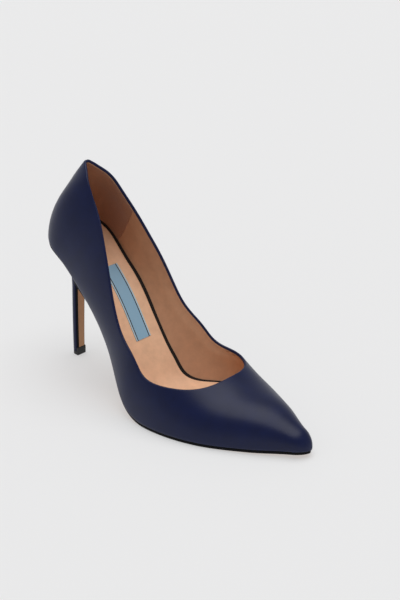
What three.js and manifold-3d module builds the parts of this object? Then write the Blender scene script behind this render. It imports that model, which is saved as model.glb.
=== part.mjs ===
// A right-foot pointed pump with a stiletto heel, in smooth leather.
// Millimetres, +Z up, toe toward -Y, inner (medial) side of the foot toward +X.
// Everything is placed on the last (the foot shape) with three coordinates:
//   t  distance along the bottom from the back of the heel seat to the toe,
//   x  sideways, h  height above the feather plane, where the upper turns under.
import * as THREE from 'three';
import Module from 'manifold-3d';

const wasm = await Module();
wasm.setup();

// ---- driving dimensions -------------------------------------------------------------------
const LENGTH = 260;            // along the bottom, heel to toe
const SOLE = 2.2;              // outsole thickness
const SEAT_PIVOT = 27;         // the back of the heel is swept round this station
const SEAT_SQUARENESS = 2.35;   // exponent of the rounded heel outline
const TOP_SQUARENESS = 2.7;    // the same at the top edge
const WALL_TILT = 3;           // how far the quarters lean over to the inner side
const NOSE_LENGTH = 8.5;       // rounding at the very tip of the toe
const SWING = -3;              // sideways bow of the centre line, toward the outer side
const THROAT = 195;            // station where the opening ends over the toes
const THROAT_START = 140;
const THROAT_SQUARENESS = 2.3;
// Slope of the bottom, degrees nose-down, at stations along it.
const SLOPES = [[0, 33], [46, 33], [94, 47.5], [127, 47.5], [165, 0], [180, 0], [280, -4.5]];
// Lean of the cross-sections, degrees back from upright; it changes more gently than the slope.
const LEANS = [[0, 33], [27, 33], [90, 38], [190, 0], [280, -4]];
const TREAD = 172;             // station that stands on the floor
// Station, half widths at the feather edge (outer side, inner side), height of the ridge.
const SECTIONS = [
  [27, 23, 22, 62], [60, 25.2, 14.3, 68], [100, 29.3, 5, 68], [140, 41, 4, 58], [170, 43.5, 25.5, 45],
  [200, 37.5, 31, 28], [230, 23, 19, 21], [250, 10.5, 7.6, 12.5], [260, 7, 4.6, 8.5],
];
const BULGE = {                // how far the wall swells beyond the feather edge
  outer: [[27, 1.8], [100, 9], [140, 3], [170, 1.5], [260, 3]],
  inner: [[27, 5.5], [100, 32.6], [140, 42.3], [170, 18.3], [200, 5.5], [260, 2]],
};
const BACK_WALL = [[22, 0], [32, 12.5], [33.5, 40.5], [25, 72.4]];  // reach behind the pivot, height
// Where the top edge cuts the wall: 0 at the feather edge, 1 at the ridge.
const TOPLINE = {
  outer: [[0, 0.82], [27, 0.79], [60, 0.57], [100, 0.355], [THROAT_START, 0.41]],
  inner: [[0, 0.82], [27, 0.78], [60, 0.56], [100, 0.375], [THROAT_START, 0.4]],
};
// Depth of each leather layer inside the outer skin: [face, back].
const UPPER_LAYER = [0, 1.2];
const STIFFENER_LAYER = [1.5, 2.1];
const LINING_LAYER = [2.5, 3.3];
const UPPER_MARGIN = 11;       // leather turned under the foot
const LINING_MARGIN = 8;
const BOARD = [3.6, 5.1];      // heights of the insole board
const FOAM_BASE = 5.3;
const SOCK_TOP = 8.6;          // height of the sock at the heel
const SOCK_DIP = 1.2;          // how much lower it lies under the toes
const SOCK_RISE = 2.2;         // how far its inner side climbs the wall along the arch
const SOCK = 1.2;              // its thickness
const SOCK_GAP = 1.2;          // clearance to the lining
const SOCK_END = 236;          // station where it ends inside the toe
const LAYER_GAP = 0.2;         // clearance between parts that lie on each other
const GRIP_END = 40;           // seam between the heel grip and the quarter linings
const VAMP_SEAM = 150;         // seam between the quarter linings and the vamp lining
const SEAM_GAP = 0.8;

// ---- small mathematics --------------------------------------------------------------------
const rad = (degrees) => degrees * Math.PI / 180;
const clamp = (x, low, high) => Math.min(high, Math.max(low, x));
const mix = (a, b, u) => a + (b - a) * u;
const ease = (from, to, x) => {
  const u = clamp((x - from) / (to - from), 0, 1);
  return u * u * (3 - 2 * u);
};
const spread = (from, to, count) => Array.from({ length: count + 1 }, (_, k) => mix(from, to, k / count));

// Smooth curve through [x, y] points, level at its start, and at its end when levelEnd is set.
function through(points, levelEnd = false) {
  const last = points.length - 1;
  const rise = (a, b) => (points[b][1] - points[a][1]) / (points[b][0] - points[a][0]);
  const slope = points.map((_, k) => rise(Math.max(k - 1, 0), Math.min(k + 1, last)));
  slope[0] = 0;
  if (levelEnd) slope[last] = 0;
  return (x) => {
    const at = clamp(x, points[0][0], points[last][0]);
    let k = 0;
    while (k < last - 1 && at > points[k + 1][0]) k += 1;
    const [x0, y0] = points[k];
    const [x1, y1] = points[k + 1];
    const span = x1 - x0;
    const u = (at - x0) / span;
    const bend = (1 - u) * (1 - u) * u * slope[k] * span - u * u * (1 - u) * slope[k + 1] * span;
    return mix(y0, y1, u * u * (3 - 2 * u)) + bend;
  };
}

const bezier = (p, u) => {
  const w = 1 - u;
  return w * w * w * p[0] + 3 * w * w * u * p[1] + 3 * w * u * u * p[2] + u * u * u * p[3];
};

// ---- the last -----------------------------------------------------------------------------
function angleAt(angles, t) {
  const k = Math.max(1, angles.findIndex(([station]) => station >= t));
  return rad(mix(angles[k - 1][1], angles[k][1], ease(angles[k - 1][0], angles[k][0], t)));
}
const slopeAt = (t) => angleAt(SLOPES, t);

// Side view of the feather plane at every millimetre: forward distance and drop.
const profile = [[0, 0]];
for (let t = 0.5; profile.length <= LENGTH + 1; t += 1) {
  const [f, z] = profile[profile.length - 1];
  profile.push([f + Math.cos(slopeAt(t)), z - Math.sin(slopeAt(t))]);
}
const LIFT = SOLE - profile[TREAD][1];

// A point of the shoe from its place along, across and above the bottom.
function place(t, x, h) {
  const k = clamp(Math.floor(t), 0, LENGTH);
  const f = mix(profile[k][0], profile[k + 1][0], t - k);
  const z = mix(profile[k][1], profile[k + 1][1], t - k) + LIFT;
  const a = slopeAt(t);
  return new THREE.Vector3(x, -f - Math.sin(a) * h, z + Math.cos(a) * h);
}

// A point of the wall: a cross-section stands on the bottom but keeps its own lean.
function standing(t, x, h) {
  const lean = angleAt(LEANS, t);
  return place(t, x, 0).add(new THREE.Vector3(0, -Math.sin(lean) * h, Math.cos(lean) * h));
}

const along = (t) => new THREE.Vector3(0, -Math.cos(slopeAt(t)), -Math.sin(slopeAt(t)));
const upward = (t) => new THREE.Vector3(0, -Math.sin(slopeAt(t)), Math.cos(slopeAt(t)));
const sideName = (side) => (side < 0 ? 'outer' : 'inner');
const featherWidth = {
  outer: through(SECTIONS.map(([t, outer]) => [t, outer])),
  inner: through(SECTIONS.map(([t, , inner]) => [t, inner])),
};
const ridgeHeight = through(SECTIONS.map(([t, , , ridge]) => [t, ridge]));
const bulge = { outer: through(BULGE.outer), inner: through(BULGE.inner) };
const toplineShare = { outer: through(TOPLINE.outer, true), inner: through(TOPLINE.inner, true) };
const centre = (t) => SWING * Math.sin(Math.PI * clamp((t - SEAT_PIVOT) / (LENGTH - SEAT_PIVOT), 0, 1));

// 0 at the tip of the toe, 1 behind the rounded nose.
function nose(t, power, inset = 0) {
  const back = clamp((LENGTH - inset - t) / NOSE_LENGTH, 0, 1);
  return (1 - (1 - back) ** power) ** (1 / power);
}

// Four control points [x, h] of half a cross-section, feather edge to ridge.
function halfSection(t, side) {
  const fore = ease(60, 165, t);
  const width = featherWidth[sideName(side)](t) * nose(t, 2);
  const swollen = width + bulge[sideName(side)](t) * nose(t, 2);
  const height = ridgeHeight(t) * nose(t, 2.2);
  const ridge = 4 * (1 - fore);
  return [
    [width, 0],
    [swollen, mix(0.2, 0.46, fore) * height],
    [mix(0.7, 0.73, fore) * swollen + ridge, mix(0.72, 1, fore) * height],
    [ridge, height],
  ];
}

// Outer skin. station runs 0 (back seam) .. LENGTH (toe); v runs 0 (feather edge) .. 1 (ridge).
function skin(station, v, side) {
  if (station < 0) return skin(-station, v, -side);
  const t = Math.max(station, SEAT_PIVOT);
  const turn = (1 - Math.min(station, SEAT_PIVOT) / SEAT_PIVOT) * Math.PI / 2;
  const [c, s] = [Math.cos(turn), Math.sin(turn)];
  const power = mix(SEAT_SQUARENESS, TOP_SQUARENESS, v);
  const ring = halfSection(t, side).map(([x, h], k) => {
    const [reach, height] = BACK_WALL[k];
    const round = (c / x) ** power + (s / reach) ** power;
    return station < SEAT_PIVOT ? [round ** (-1 / power), h * c * c + height * s * s] : [x, h];
  });
  const r = bezier(ring.map((p) => p[0]), v);
  const h = bezier(ring.map((p) => p[1]), v);
  const tilt = WALL_TILT * v * v * (1 - ease(60, 165, t));
  return standing(t, centre(t) + tilt + side * r * c, h).addScaledVector(along(t), -r * s);
}

// Unit vector into the shoe from the outer skin.
function inward(station, v, side) {
  const step = 0.02;
  const s = Math.min(station, LENGTH - 0.3);
  const across = skin(s, Math.min(v + step, 1), side).sub(skin(s, Math.max(v - step, 0), side));
  const down = skin(s + step, v, side).sub(skin(s - step, v, side));
  return across.cross(down).multiplyScalar(-side).normalize();
}

// The share v of the wall at the top edge.
function topEdge(station, side) {
  const share = toplineShare[sideName(side)](station);
  const u = clamp((station - THROAT_START) / (THROAT - THROAT_START), 0, 1);
  return 1 - (1 - share) * (1 - u ** THROAT_SQUARENESS) ** (1 / THROAT_SQUARENESS);
}

// A point of a leather layer at some depth inside the skin.
const wall = (station, v, side) => (depth) => {
  const point = skin(station, v, side);
  if (station >= LENGTH) {
    return point.addScaledVector(upward(station), depth).addScaledVector(along(station), -depth);
  }
  const into = inward(station, v, side);
  if (v > 0) return point.addScaledVector(into, depth);
  const up = upward(Math.max(station, SEAT_PIVOT));
  return point.addScaledVector(into.clone().add(up).divideScalar(1 + into.dot(up)), depth);
};

// A point of the margin turned under the foot, some way in from the feather edge.
const margin = (station, width, side) => (depth) => {
  if (station >= LENGTH) return wall(station, 0, side)(depth);
  const t = Math.max(station, SEAT_PIVOT);
  const edge = skin(station, 0, side);
  const spine = place(t, centre(t), 0);
  const share = Math.min(width / edge.distanceTo(spine), 0.7);
  return edge.lerp(spine, share).addScaledVector(upward(t), depth);
};

// ---- building closed bodies ---------------------------------------------------------------
class Skin {
  constructor() {
    this.points = [];
    this.faces = [];
    this.seen = new Map();
  }

  // Points at the same spot become one corner; layers names the points stored for it.
  vertex(spot, layers = [spot]) {
    const key = spot.toArray().map((c) => Math.round(c * 500)).join();
    if (!this.seen.has(key)) {
      this.seen.set(key, this.points.length);
      this.points.push(layers);
    }
    return this.seen.get(key);
  }

  face(a, b, c) {
    if (a !== b && b !== c && a !== c) this.faces.push([a, b, c]);
  }

  quad(a, b, c, d) {
    this.face(a, b, c);
    this.face(a, c, d);
  }
}

// Geometry from corner points and triangles, turned so the faces look outward.
function solid(points, faces) {
  const corner = (face) => face.map((k) => points[k]);
  const volume = faces.map(corner).reduce((sum, [a, b, c]) => sum + a.dot(b.clone().cross(c)), 0);
  const turned = volume < 0 ? faces.map(([a, b, c]) => [a, c, b]) : faces;
  const geometry = new THREE.BufferGeometry().setFromPoints(points);
  geometry.setIndex(turned.flat());
  return geometry;
}

// A leather piece: one or more grids of depth-functions, given thickness and closed round the edge.
function leather(grids, [face, back]) {
  const body = new Skin();
  for (const { rows, flip } of grids) {
    const index = rows.map((row) => row.map((at) => body.vertex(at(0), [at(face), at(back)])));
    for (let i = 0; i + 1 < index.length; i += 1) {
      for (let j = 0; j + 1 < index[i].length; j += 1) {
        const corners = [index[i][j], index[i + 1][j], index[i + 1][j + 1], index[i][j + 1]];
        body.quad(...(flip ? corners.reverse() : corners));
      }
    }
  }
  const count = body.points.length;
  const edges = new Set(body.faces.flatMap(([a, b, c]) => [`${a},${b}`, `${b},${c}`, `${c},${a}`]));
  const faces = body.faces.flatMap(([a, b, c]) => [[a, b, c], [a + count, c + count, b + count]]);
  for (const edge of edges) {
    const [a, b] = edge.split(',').map(Number);
    if (!edges.has(`${b},${a}`)) faces.push([b, a, a + count], [b, a + count, b + count]);
  }
  return solid([...body.points.map((p) => p[0]), ...body.points.map((p) => p[1])], faces);
}

// A body through equal rings of points, with flat convex ends.
function loft(rings) {
  const body = new Skin();
  const index = rings.map((ring) => ring.map((point) => body.vertex(point)));
  const size = rings[0].length;
  for (let i = 0; i + 1 < index.length; i += 1) {
    for (let j = 0; j < size; j += 1) {
      const k = (j + 1) % size;
      body.quad(index[i][j], index[i + 1][j], index[i + 1][k], index[i][k]);
    }
  }
  const [first, last] = [index[0], index[index.length - 1]];
  for (let j = 1; j + 1 < size; j += 1) {
    body.face(first[0], first[j], first[j + 1]);
    body.face(last[0], last[j + 1], last[j]);
  }
  return solid(body.points.map((p) => p[0]), body.faces);
}

// A turned body: [radius, distance] profile swept round the line from start along direction.
function turned(profilePoints, start, direction, segments = 12) {
  const geometry = new THREE.LatheGeometry(profilePoints.map(([r, d]) => new THREE.Vector2(r, d)), segments);
  const axis = direction.clone().normalize();
  const turn = new THREE.Quaternion().setFromUnitVectors(new THREE.Vector3(0, 1, 0), axis);
  geometry.applyQuaternion(turn);
  geometry.translate(start.x, start.y, start.z);
  const body = new Skin();
  const corners = Array.from({ length: geometry.attributes.position.count }, (_, k) => (
    body.vertex(new THREE.Vector3().fromBufferAttribute(geometry.attributes.position, k))));
  const index = geometry.index.array;
  for (let k = 0; k < index.length; k += 3) {
    body.face(corners[index[k]], corners[index[k + 1]], corners[index[k + 2]]);
  }
  return solid(body.points.map((p) => p[0]), body.faces);
}

const rod = (radius, length) => [[0, 0], [radius, 0], [radius, length], [0, length]];

const toManifold = (geometry) => new wasm.Manifold(new wasm.Mesh({
  numProp: 3,
  vertProperties: new Float32Array(geometry.attributes.position.array),
  triVerts: new Uint32Array(geometry.index.array),
}));

function fromManifold(body) {
  const mesh = body.getMesh();
  const geometry = new THREE.BufferGeometry();
  geometry.setAttribute('position', new THREE.Float32BufferAttribute(mesh.vertProperties, 3));
  geometry.setIndex(Array.from(mesh.triVerts));
  return geometry;
}

const bored = (geometry, cutters) => fromManifold(
  cutters.reduce((body, cutter) => body.subtract(toManifold(cutter)), toManifold(geometry)));
const joined = (a, b) => fromManifold(toManifold(a).add(toManifold(b)));

// ---- stations and grids -------------------------------------------------------------------
const HEEL_STATIONS = spread(0, SEAT_PIVOT, 6);
const WAIST_STATIONS = [
  33, GRIP_END, 49, 58, 68, 82, 96, 110, 123, 133, 142, VAMP_SEAM, 158, 166, 174, 181, 187, 192, THROAT,
];
const TOE_STATIONS = [203, 212, 221, 230, 238, 245, 250, 253.5, 256, 258, 259.4, LENGTH];
const ALL_STATIONS = [...HEEL_STATIONS, ...WAIST_STATIONS, ...TOE_STATIONS];
const between = (from, to) => [from, ...ALL_STATIONS.filter((s) => s > from + 1 && s < to - 1), to];

// Shares of the wall height where every layer has its rows, so that the layers stay parallel.
const SHARES = [0, 0.08, 0.2, 0.33, 0.46, 0.6, 0.74, 0.87, 0.94, 1];

// Grid over one side: the margin first, then the rows of the wall from share low to share high.
function sideGrid(stations, side, { marginWidth = 0, low = 0, high = 1, drop = () => 0 }) {
  const shares = SHARES.filter((share) => share >= low && share <= high);
  const grid = stations.map((station) => {
    const top = topEdge(station, side) - drop(station);
    const climb = shares.map((share) => wall(station, share * top, side));
    return marginWidth > 0 ? [margin(station, marginWidth, side), ...climb] : climb;
  });
  return { rows: grid, flip: side < 0 };
}

const bothSides = (stations, options) => [-1, 1].map((side) => sideGrid(stations, side, options));

// Share of the wall that a distance below the top edge amounts to.
const shareBelow = (distance) => (station) => distance / 90 * (1 - ease(150, THROAT, station));

// ---- the leather parts --------------------------------------------------------------------
function upper() {
  return leather(bothSides(ALL_STATIONS, { marginWidth: UPPER_MARGIN }), UPPER_LAYER);
}

function vampLining() {
  const stations = between(VAMP_SEAM + SEAM_GAP, LENGTH);
  return leather(bothSides(stations, { marginWidth: LINING_MARGIN, drop: shareBelow(1) }), LINING_LAYER);
}

function quarterLining(side) {
  const stations = between(GRIP_END + SEAM_GAP, VAMP_SEAM);
  const options = { marginWidth: LINING_MARGIN, drop: shareBelow(1) };
  return leather([sideGrid(stations, side, options)], LINING_LAYER);
}

function heelGrip() {
  const options = { marginWidth: LINING_MARGIN, drop: shareBelow(1) };
  return leather(bothSides(between(0, GRIP_END), options), LINING_LAYER);
}

function heelCounter() {
  return leather(bothSides(between(0, 68), { marginWidth: LINING_MARGIN, high: 0.75 }), STIFFENER_LAYER);
}

function toePuff() {
  return leather(bothSides(between(224, LENGTH), { marginWidth: LINING_MARGIN }), STIFFENER_LAYER);
}

function toplineTape() {
  const stations = ALL_STATIONS.filter((s) => s <= 187);
  return leather(bothSides(stations, { low: 0.86, high: 0.95 }), STIFFENER_LAYER);
}

// ---- the bottom parts ---------------------------------------------------------------------
// Inner plates stop well short of the tip, where the toe gets low.
const toeInset = (inset) => (inset > 2 ? 3 * inset : inset);

// Half widths [outer, inner] of the foot outline, taken in by an inset all round.
function outline(t, inset) {
  const back = clamp((SEAT_PIVOT - t) / (BACK_WALL[0][0] - inset), 0, 1);
  const heel = (1 - back ** SEAT_SQUARENESS) ** (1 / SEAT_SQUARENESS);
  const share = heel * nose(t, 2, toeInset(inset));
  return [(featherWidth.outer(t) - inset) * share, (featherWidth.inner(t) - inset) * share];
}

function plateRing(t, inset, low, high) {
  const [outer, inner] = outline(t, inset);
  const x = centre(t);
  const [left, right] = [x - outer, x + inner];
  return [place(t, left, low), place(t, right, low), place(t, right, high), place(t, left, high)];
}

// Stations of a flat bottom part, close together at its rounded ends.
function plateStations(inset) {
  const reach = BACK_WALL[0][0] - inset;
  const heel = spread(90, 0, 6).map((turn) => SEAT_PIVOT - reach * Math.sin(rad(turn)));
  const noseAt = (turn) => LENGTH - toeInset(inset) - NOSE_LENGTH * (1 - Math.sin(rad(turn)));
  const tip = spread(0, 90, 5).map(noseAt);
  const middle = [...WAIST_STATIONS, ...TOE_STATIONS].filter((t) => t < tip[0] - 2);
  return [...heel, ...middle, ...tip];
}

function plate(inset, low, high) {
  return loft(plateStations(inset).map((t) => plateRing(t, inset, low(t), high(t))));
}

const NAILS = [[17, 0], [21, -6.5], [21, 6.5], [29, -5.5], [29, 5.5]];
const SCREW = [24, 0];
const RIVETS = [[62, -5], [138, -13]];
const boreAt = ([t, x], radius, low, high) => (
  turned(rod(radius, high - low), place(t, x, low), upward(t), 10));

// The heel is fixed from inside the shoe by plumb fasteners: a hole for one, and the fastener itself.
const PLUMB = new THREE.Vector3(0, 0, 1);
const raised = (point, dz) => point.clone().setZ(point.z + dz);
const HEAD_HEIGHT = 3.6;       // where the heads sit, above the feather plane
const headAt = ([t, x]) => place(t, x, HEAD_HEIGHT);
const drill = (at, radius, below, above) => (
  turned(rod(radius, below + above), raised(headAt(at), -below), PLUMB, 10));

function insoleBoard() {
  const board = plate(4.8, () => BOARD[0], () => BOARD[1]);
  const holes = [
    ...NAILS.map((at) => drill(at, 1.9, 4, 6)),
    drill(SCREW, 3.6, 5, 6),
    ...RIVETS.map((at) => boreAt(at, 1.6, BOARD[0] - 1, BOARD[1] + 1)),
  ];
  return bored(board, holes);
}

// Station along the bottom and height above it of a point near a station.
function footOf(point, near) {
  let t = near;
  for (let k = 0; k < 8; k += 1) t += point.clone().sub(place(t, point.x, 0)).dot(along(t));
  return [t, point.clone().sub(place(t, point.x, 0)).dot(upward(t))];
}

// Station and x where a level meets the lining, a gap away from its face.
function meetsLining(station, side, gap, level) {
  let [low, high] = [0, 0.6];
  let [t, x] = [station, 0];
  for (let k = 0; k < 20; k += 1) {
    const v = (low + high) / 2;
    const point = wall(station, v, side)(LINING_LAYER[1] + gap);
    const [foot, height] = footOf(point, station);
    [t, x] = [foot, point.x];
    if (height < level(foot)) low = v;
    else high = v;
  }
  return [t, x];
}

const sockTop = (t) => SOCK_TOP - SOCK_DIP * ease(60, 150, t);
const sockBottom = (t) => sockTop(t) - SOCK;
const climb = (station) => SOCK_RISE * ease(8, 34, station) * (1 - ease(125, 160, station));

// Row of points from lining to lining at a level; the inner end is lifted.
function row(station, gap, level, lift) {
  const [outer, inner] = [-1, 1].map((side) => (
    meetsLining(station, side, gap, (t) => level(t) + (side > 0 ? lift : 0))));
  return [[0, 0], [0.8, 0], [1, lift]].map(([u, raise]) => {
    const t = mix(outer[0], inner[0], u);
    return place(t, mix(outer[1], inner[1], u), level(t) + raise);
  });
}

// A layer lying in the shoe from the heel to SOCK_END, close to the lining all round.
function bedding(gap, bottom, bottomLift, top) {
  return loft(between(0, SOCK_END).map((station) => {
    const lift = climb(station);
    return [...row(station, gap, bottom, bottomLift * lift), ...row(station, gap, top, lift).reverse()];
  }));
}

const sockFoam = () => bedding(SOCK_GAP, () => FOAM_BASE, 0, (t) => sockBottom(t) - 3 * LAYER_GAP);
const sockLining = () => bedding(SOCK_GAP, sockBottom, 1, sockTop);

// Oblong label lying lengthwise on the sock, a little turned on it.
const LABEL = { start: 54, end: 107, half: 6.5, x: [0, -8], thick: 0.3 };
function sockLabel() {
  return loft(spread(LABEL.start, LABEL.end, 6).map((t) => {
    const x = mix(LABEL.x[0], LABEL.x[1], (t - LABEL.start) / (LABEL.end - LABEL.start));
    const low = sockTop(t) + LAYER_GAP;
    const corners = [[-1, 0], [1, 0], [1, 1], [-1, 1]];
    return corners.map(([across, up]) => place(t, x + across * LABEL.half, low + up * LABEL.thick));
  }));
}

function steelShank() {
  const strip = loft(spread(41, 146, 14).map((t) => {
    const half = 5.5 - 1.5 * ease(0.7, 1, Math.abs(t - 93.5) / 52.5);
    const x = mix(-4, -14, ease(50, 120, t));
    const corners = [[-1, 1.6], [1, 1.6], [1, 3.1], [-1, 3.1]];
    return corners.map(([across, h]) => place(t, x + across * half, h));
  }));
  return bored(strip, RIVETS.map((at) => boreAt(at, 1.6, 1, 4)));
}

function shankRivet(at) {
  const headAndStem = [[0, 0], [2.6, 0], [2.6, 0.8], [1.3, 0.8], [1.3, 4.2], [0, 4.2]];
  return turned(headAndStem, place(...at, 0.6), upward(at[0]), 12);
}

function bottomFiller() {
  const stations = [150, 158, 166, 174, 181, 187, 195, 203, 212];
  return loft(stations.map((t) => plateRing(t, UPPER_MARGIN + 1.5, 0.3, 3.1)));
}

// ---- the heel -----------------------------------------------------------------------------
const STEM_TOP = 50;           // height where the stem begins to flare
const TIP_TOP = 3.2;           // top of the base of the top piece
const SEAT_FRONT = 52;         // station where the outsole leaves the heel seat
const COVER = 0.8;
const FLAP = { gap: 0.2, thick: 1.4, end: 6.3, inset: 0.9 };
const STEM = { front: 20.5, back: 15.4, half: 3.8, x: -3.3 };
const SEAT_HALF = 22.3;
const SEAT_GAP = 0.3;
const seatBack = place(SEAT_PIVOT - BACK_WALL[0][0] + 0.8, 0, -SEAT_GAP);
const seatFront = place(SEAT_FRONT, 0, -SEAT_GAP);

// Side-view points [forward, up] of the breast (front) and back of the heel, u = 0 tip .. 1 seat.
function heelLine(u, atFloor, lean, crown, crownPull) {
  const flare = clamp((u - 0.4) / 0.6, 0, 1);
  const foot = [atFloor, TIP_TOP];
  const neck = [atFloor + lean, STEM_TOP];
  if (u <= 0.4) return [mix(foot[0], neck[0], u / 0.4), mix(foot[1], neck[1], u / 0.4)];
  return [0, 1].map((k) => bezier([neck[k], neck[k] + [lean * 0.4, 18][k], crownPull[k], crown[k]], flare));
}

const breastLine = (u) => heelLine(u, STEM.front, 0.9, [-seatFront.y, seatFront.z], [28, 77.8]);
const backLine = (u) => heelLine(u, STEM.back, 0.6, [-seatBack.y, seatBack.z], [10.5, 84]);
const heelHalf = (u) => mix(mix(STEM.half, 4.4, u / 0.4), SEAT_HALF, clamp((u - 0.4) / 0.6, 0, 1) ** 2.4);
const heelCentre = (u) => mix(STEM.x, -0.5, ease(0, 1, u));

// A point on a D outline: a = -1 outer front corner, 0 middle of the back, 1 inner front corner.
// taper narrows the inner side toward the front.
function dPoint(front, back, half, x, a, inset, frontInset, taper = 0) {
  const depth = Math.hypot(back[0] - front[0], back[1] - front[1]);
  const straight = Math.max(depth - half, 0.5);
  const turn = Math.min(Math.abs(a) / 0.6, 1) * Math.PI / 2;
  const run = clamp((Math.abs(a) - 0.6) / 0.4, 0, 1);
  const narrowed = a > 0 ? 1 - taper * run : 1;
  const across = Math.sign(a) * (half - inset) * Math.sin(turn) * narrowed;
  const deep = mix(straight + (depth - inset - straight) * Math.cos(turn), frontInset, run);
  const at = [0, 1].map((k) => mix(front[k], back[k], deep / depth));
  return new THREE.Vector3(x + across, -at[0], at[1]);
}

const D_STEPS = [-1, -0.8, ...spread(-0.6, 0.6, 12), 0.8, 1];
const HEEL_LEVELS = [0, 0.13, 0.27, 0.4, 0.47, 0.54, 0.61, 0.68, 0.75, 0.82, 0.89, 0.95, 1];
const heelPoint = (u, a, inset, frontInset) => {
  const taper = 0.22 * ease(0.6, 1, u);
  return dPoint(breastLine(u), backLine(u), heelHalf(u), heelCentre(u), a, inset, frontInset, taper);
};

// Toward the seat the front of the heel stays clear of the outsole, which sweeps down there.
const frontClearance = (u) => mix(0.1, 8.5, ease(0.75, 1, u));

function heelCover() {
  const rows = HEEL_LEVELS.map((u) => (
    D_STEPS.map((a) => (depth) => heelPoint(u, a, depth, frontClearance(u)))));
  return leather([{ rows, flip: false }], [0, COVER]);
}

// The steel tube in the stem; the other radii belong to what goes round it and into it.
const TUBE = {
  from: new THREE.Vector3(STEM.x, -18.3, TIP_TOP + 0.6),
  to: new THREE.Vector3(-2.2, -19.1, 56),
};
const TUBE_RADIUS = 1.2;
const TUBE_BORE = 0.85;
const TUBE_HOLE = 1.35;
const PIN_RADIUS = 0.7;
const PIN_HOLE = 0.9;
const tubeAxis = TUBE.to.clone().sub(TUBE.from).normalize();
const tubeLength = TUBE.to.distanceTo(TUBE.from);

function heelCore() {
  const core = loft(HEEL_LEVELS.map((u) => (
    D_STEPS.map((a) => heelPoint(u, a, COVER + 0.3, frontClearance(u) + 0.3)))));
  const bores = [
    turned(rod(TUBE_HOLE, tubeLength + 4.5), TUBE.from.clone().addScaledVector(tubeAxis, -4), tubeAxis, 14),
    ...NAILS.map((at) => drill(at, 1.2, 13.2, 6)),
    drill(SCREW, 2.6, 21.6, 6),
  ];
  return bored(core, bores);
}

function heelPinTube() {
  const inside = [[TUBE_BORE, tubeLength], [TUBE_BORE, 0]];
  const ring = [[TUBE_BORE, 0], [TUBE_RADIUS, 0], [TUBE_RADIUS, tubeLength], ...inside];
  return turned(ring, TUBE.from, tubeAxis, 16);
}

const topPiecePin = () => {
  const foot = TUBE.from.clone().addScaledVector(tubeAxis, -2.2);
  return turned(rod(PIN_RADIUS, 20), foot, tubeAxis);
};

function topPiece() {
  const front = STEM.front + FLAP.gap + FLAP.thick;
  const ring = (z, inset) => D_STEPS.map((a) => (
    dPoint([front, z], [STEM.back, z], STEM.half, STEM.x, a, inset, 0)));
  const base = loft([ring(0, 0.4), ring(0.5, 0), ring(TIP_TOP - 0.3, 0)]);
  const half = STEM.half - 0.15;
  const back = FLAP.thick - front;
  const lipCorners = [[-half, -front], [half, -front], [half, back], [-half, back]];
  const lipRing = (z) => lipCorners.map(([x, y]) => new THREE.Vector3(STEM.x + x, y, z));
  const lip = loft([lipRing(TIP_TOP - 1.2), lipRing(FLAP.end - 0.3)]);
  const pinHole = turned(rod(PIN_HOLE, 8), TUBE.from.clone().addScaledVector(tubeAxis, -2.5), tubeAxis);
  return bored(joined(base, lip), [pinHole]);
}

// The outsole runs from the toe to the heel and down the breast as one thin flap.
function outsole() {
  const inset = 0.8;
  const tread = plateStations(inset).filter((t) => t > SEAT_FRONT + 2).reverse();
  const rings = tread.map((t) => plateRing(t, inset, -SOLE, -SEAT_GAP));
  const down = [...spread(1, 0.4, 12), 0.2, (FLAP.end - TIP_TOP) / (STEM_TOP - TIP_TOP) * 0.4];
  for (const u of down) {
    const here = breastLine(u);
    const [ahead, behind] = [breastLine(Math.min(u + 0.01, 1)), breastLine(u - 0.01)];
    const run = new THREE.Vector2(ahead[0] - behind[0], ahead[1] - behind[1]).normalize();
    const off = (distance) => [here[0] + run.y * distance, here[1] - run.x * distance];
    const blend = ease(0.93, 1, u);
    const thick = mix(FLAP.thick, SOLE - SEAT_GAP, blend);
    const gap = mix(FLAP.gap, 0.02, blend);
    const [outer, inner] = outline(SEAT_FRONT, inset);
    const left = heelCentre(u) - heelHalf(u) + FLAP.inset;
    const right = heelCentre(u) + heelHalf(u) - FLAP.inset;
    const corner = (x, distance) => new THREE.Vector3(x, -off(distance)[0], off(distance)[1]);
    const [low, high] = [gap + thick, gap];
    const x0 = mix(left, Math.max(left, centre(SEAT_FRONT) - outer), blend);
    const x1 = mix(right, Math.min(right, centre(SEAT_FRONT) + inner), blend);
    rings.push([corner(x0, low), corner(x1, low), corner(x1, high), corner(x0, high)]);
  }
  return loft(rings);
}

function heelNail(at) {
  const shape = [[0, 0], [0.9, 2], [0.9, 11.3], [1.6, 11.9], [1.6, 12.6], [0, 12.6]];
  return turned(shape, raised(headAt(at), -12.6), PLUMB, 10);
}

function heelScrew() {
  const shape = [[0, 0], [1.2, 3], [2.2, 6], [2.2, 18.4], [3.2, 20], [3.2, 21], [0, 21]];
  return turned(shape, raised(headAt(SCREW), -21), PLUMB, 14);
}

// ---- materials and assembly ---------------------------------------------------------------
const material = (color, roughness, metalness = 0) => (
  new THREE.MeshStandardMaterial({ color, roughness, metalness }));
const NAVY = material(0x1b2140, 0.42);
const TAN = material(0xc79a78, 0.7);
const BROWN = material(0x8d6750, 0.8);
const SOLE_TAN = material(0xb98e68, 0.55);
const BLACK = material(0x131316, 0.5);
const STIFF = material(0xd8d2c2, 0.9);
const BOARD_BROWN = material(0x9a7b58, 0.9);
const WEBBING = material(0xe6e2d8, 0.9);
const FOAM_BLACK = material(0x28221f, 0.95);
const CORK = material(0xa9825a, 0.95);
const LABEL_BLUE = material(0x7da0b8, 0.6);
const PLASTIC = material(0xcfc9bd, 0.6);
const STEEL = material(0xa8abb0, 0.35, 1);

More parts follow.
